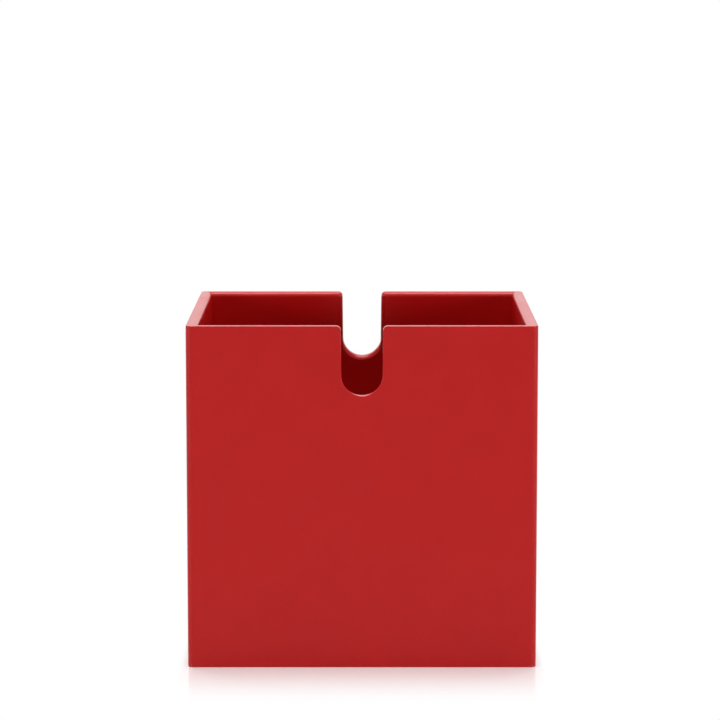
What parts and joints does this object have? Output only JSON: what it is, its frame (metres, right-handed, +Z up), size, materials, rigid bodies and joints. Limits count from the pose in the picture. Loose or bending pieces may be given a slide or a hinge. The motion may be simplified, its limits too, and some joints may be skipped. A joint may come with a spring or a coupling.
{
  "type": "drawer cube",
  "caption": "Open-topped, cube-like drawer box of red lacquered board, with a rounded finger notch in the front wall and in the back wall.",
  "frame": {"origin": "middle of the underside", "axes": "+Z up, the front wall looks along -Y, +X to the right as seen from the front"},
  "size_m": [0.3, 0.268, 0.296],
  "materials": {
    "red_lacquered_board": "satin red lacquer",
    "beech": "bare turned wood"
  },
  "bodies": {
    "root": {"front_panel": "red_lacquered_board", "back_panel": "red_lacquered_board", "left_side_panel": "red_lacquered_board", "right_side_panel": "red_lacquered_board", "bottom_panel": "red_lacquered_board", "dowel_front_left_1": "beech", "dowel_front_left_2": "beech", "dowel_front_left_3": "beech", "dowel_front_right_1": "beech", "dowel_front_right_2": "beech", "dowel_front_right_3": "beech", "dowel_back_left_1": "beech", "dowel_back_left_2": "beech", "dowel_back_left_3": "beech", "dowel_back_right_1": "beech", "dowel_back_right_2": "beech", "dowel_back_right_3": "beech", "dowel_bottom_front_1": "beech", "dowel_bottom_front_2": "beech", "dowel_bottom_front_3": "beech", "dowel_bottom_back_1": "beech", "dowel_bottom_back_2": "beech", "dowel_bottom_back_3": "beech", "dowel_bottom_left_1": "beech", "dowel_bottom_left_2": "beech", "dowel_bottom_left_3": "beech", "dowel_bottom_right_1": "beech", "dowel_bottom_right_2": "beech", "dowel_bottom_right_3": "beech"}
  },
  "joints": []
}
